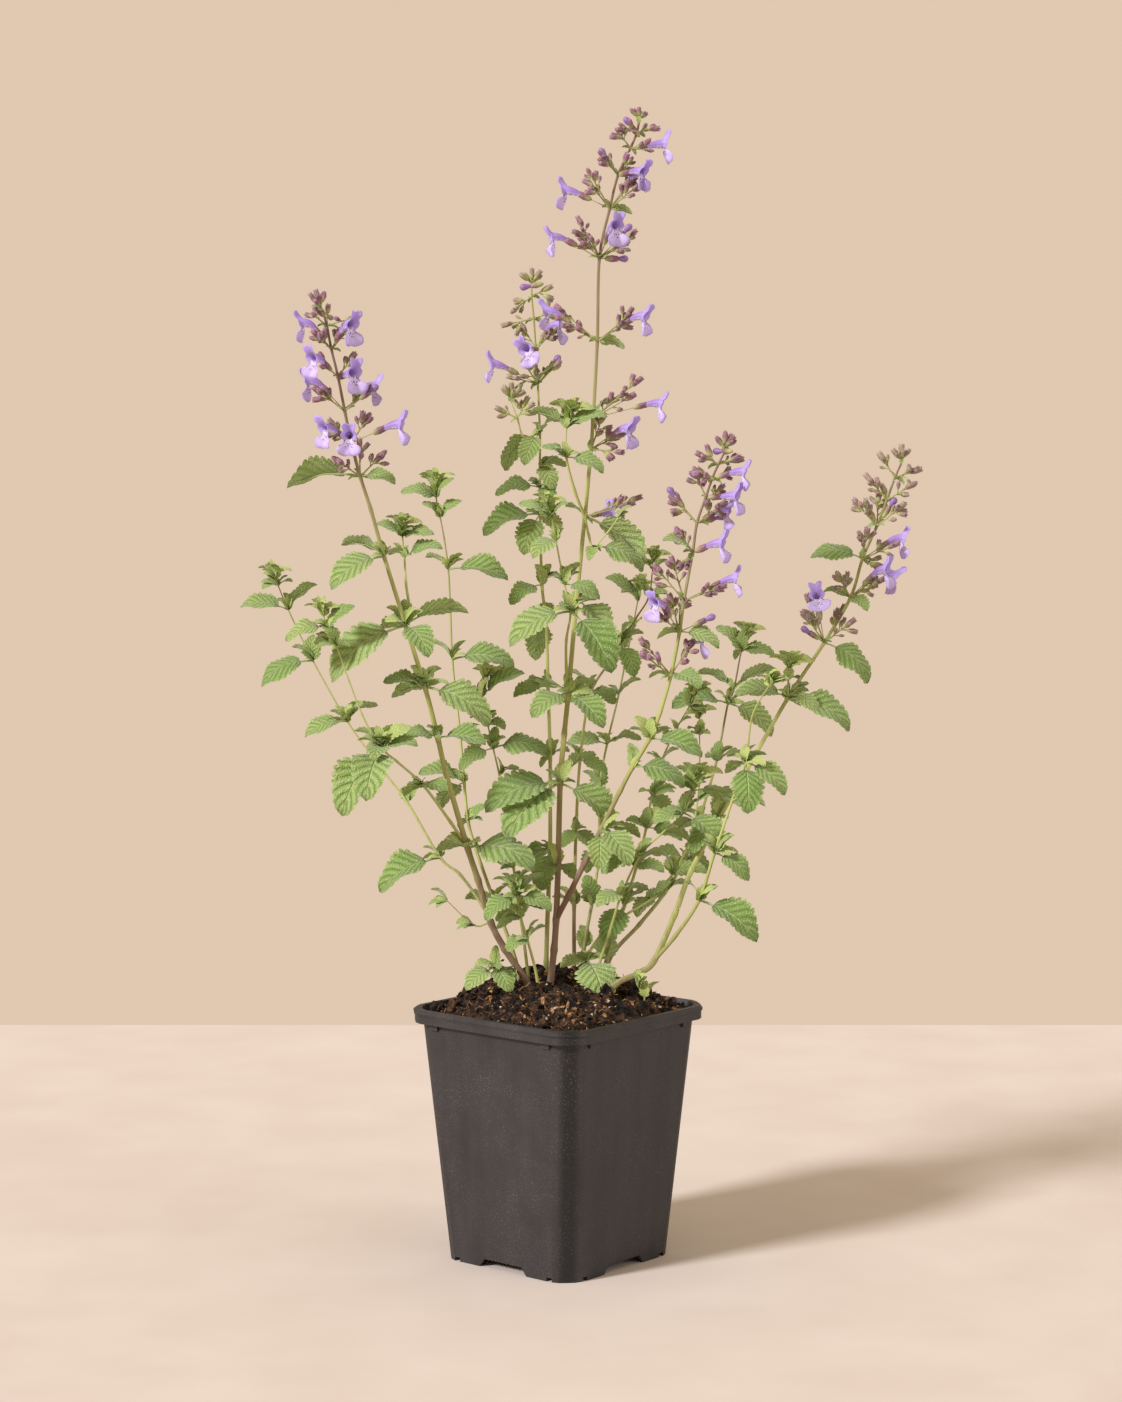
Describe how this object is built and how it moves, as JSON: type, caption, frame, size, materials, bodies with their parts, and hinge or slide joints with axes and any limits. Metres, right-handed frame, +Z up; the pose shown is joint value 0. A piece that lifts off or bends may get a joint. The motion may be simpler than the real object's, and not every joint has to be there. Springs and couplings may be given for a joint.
{
  "type": "potted catmint",
  "caption": "Flowering catmint with leafy square stems, lavender two-lipped flowers in loose spikes, growing in peat in a square nursery pot.",
  "frame": {"origin": "on the ground under the middle of the whole plant's box, a few millimetres from the pot's axis", "axes": "+Z up along the plant's height, +X and +Y square to the pot's sides"},
  "size_m": [0.2532, 0.2542, 0.5629],
  "materials": {
    "pot_plastic": "matt black polypropylene with a fine moulded grain",
    "peat": "dark crumbly peat with bark chips",
    "stems_and_leaves": "soft hairy grey-green",
    "petals": "soft lavender"
  },
  "bodies": {
    "root": {"pot": "pot_plastic", "soil": "peat", "shoot_low_left": "stems_and_leaves", "stem_back_centre": "stems_and_leaves", "stem_back_left": "stems_and_leaves", "stem_back_middle": "stems_and_leaves", "stem_back_right": "stems_and_leaves", "stem_centre": "stems_and_leaves", "stem_centre_left": "stems_and_leaves", "stem_front_right": "stems_and_leaves", "stem_left": "stems_and_leaves", "stem_left_inner": "stems_and_leaves", "stem_low_front": "stems_and_leaves", "stem_mid_right": "stems_and_leaves", "stem_right": "stems_and_leaves", "stem_right_inner": "stems_and_leaves", "corolla_1": "petals", "corolla_2": "petals", "corolla_3": "petals", "corolla_4": "petals", "corolla_5": "petals", "corolla_6": "petals", "corolla_7": "petals", "corolla_8": "petals", "corolla_9": "petals", "corolla_10": "petals", "corolla_11": "petals", "corolla_12": "petals", "corolla_13": "petals", "corolla_14": "petals", "corolla_15": "petals", "corolla_16": "petals", "corolla_17": "petals", "corolla_18": "petals", "corolla_19": "petals", "corolla_20": "petals", "corolla_21": "petals", "corolla_22": "petals", "corolla_23": "petals", "corolla_24": "petals", "corolla_25": "petals", "corolla_26": "petals", "corolla_27": "petals", "corolla_28": "petals", "corolla_29": "petals", "corolla_30": "petals", "corolla_31": "petals", "corolla_32": "petals", "corolla_33": "petals", "corolla_34": "petals"}
  },
  "joints": []
}
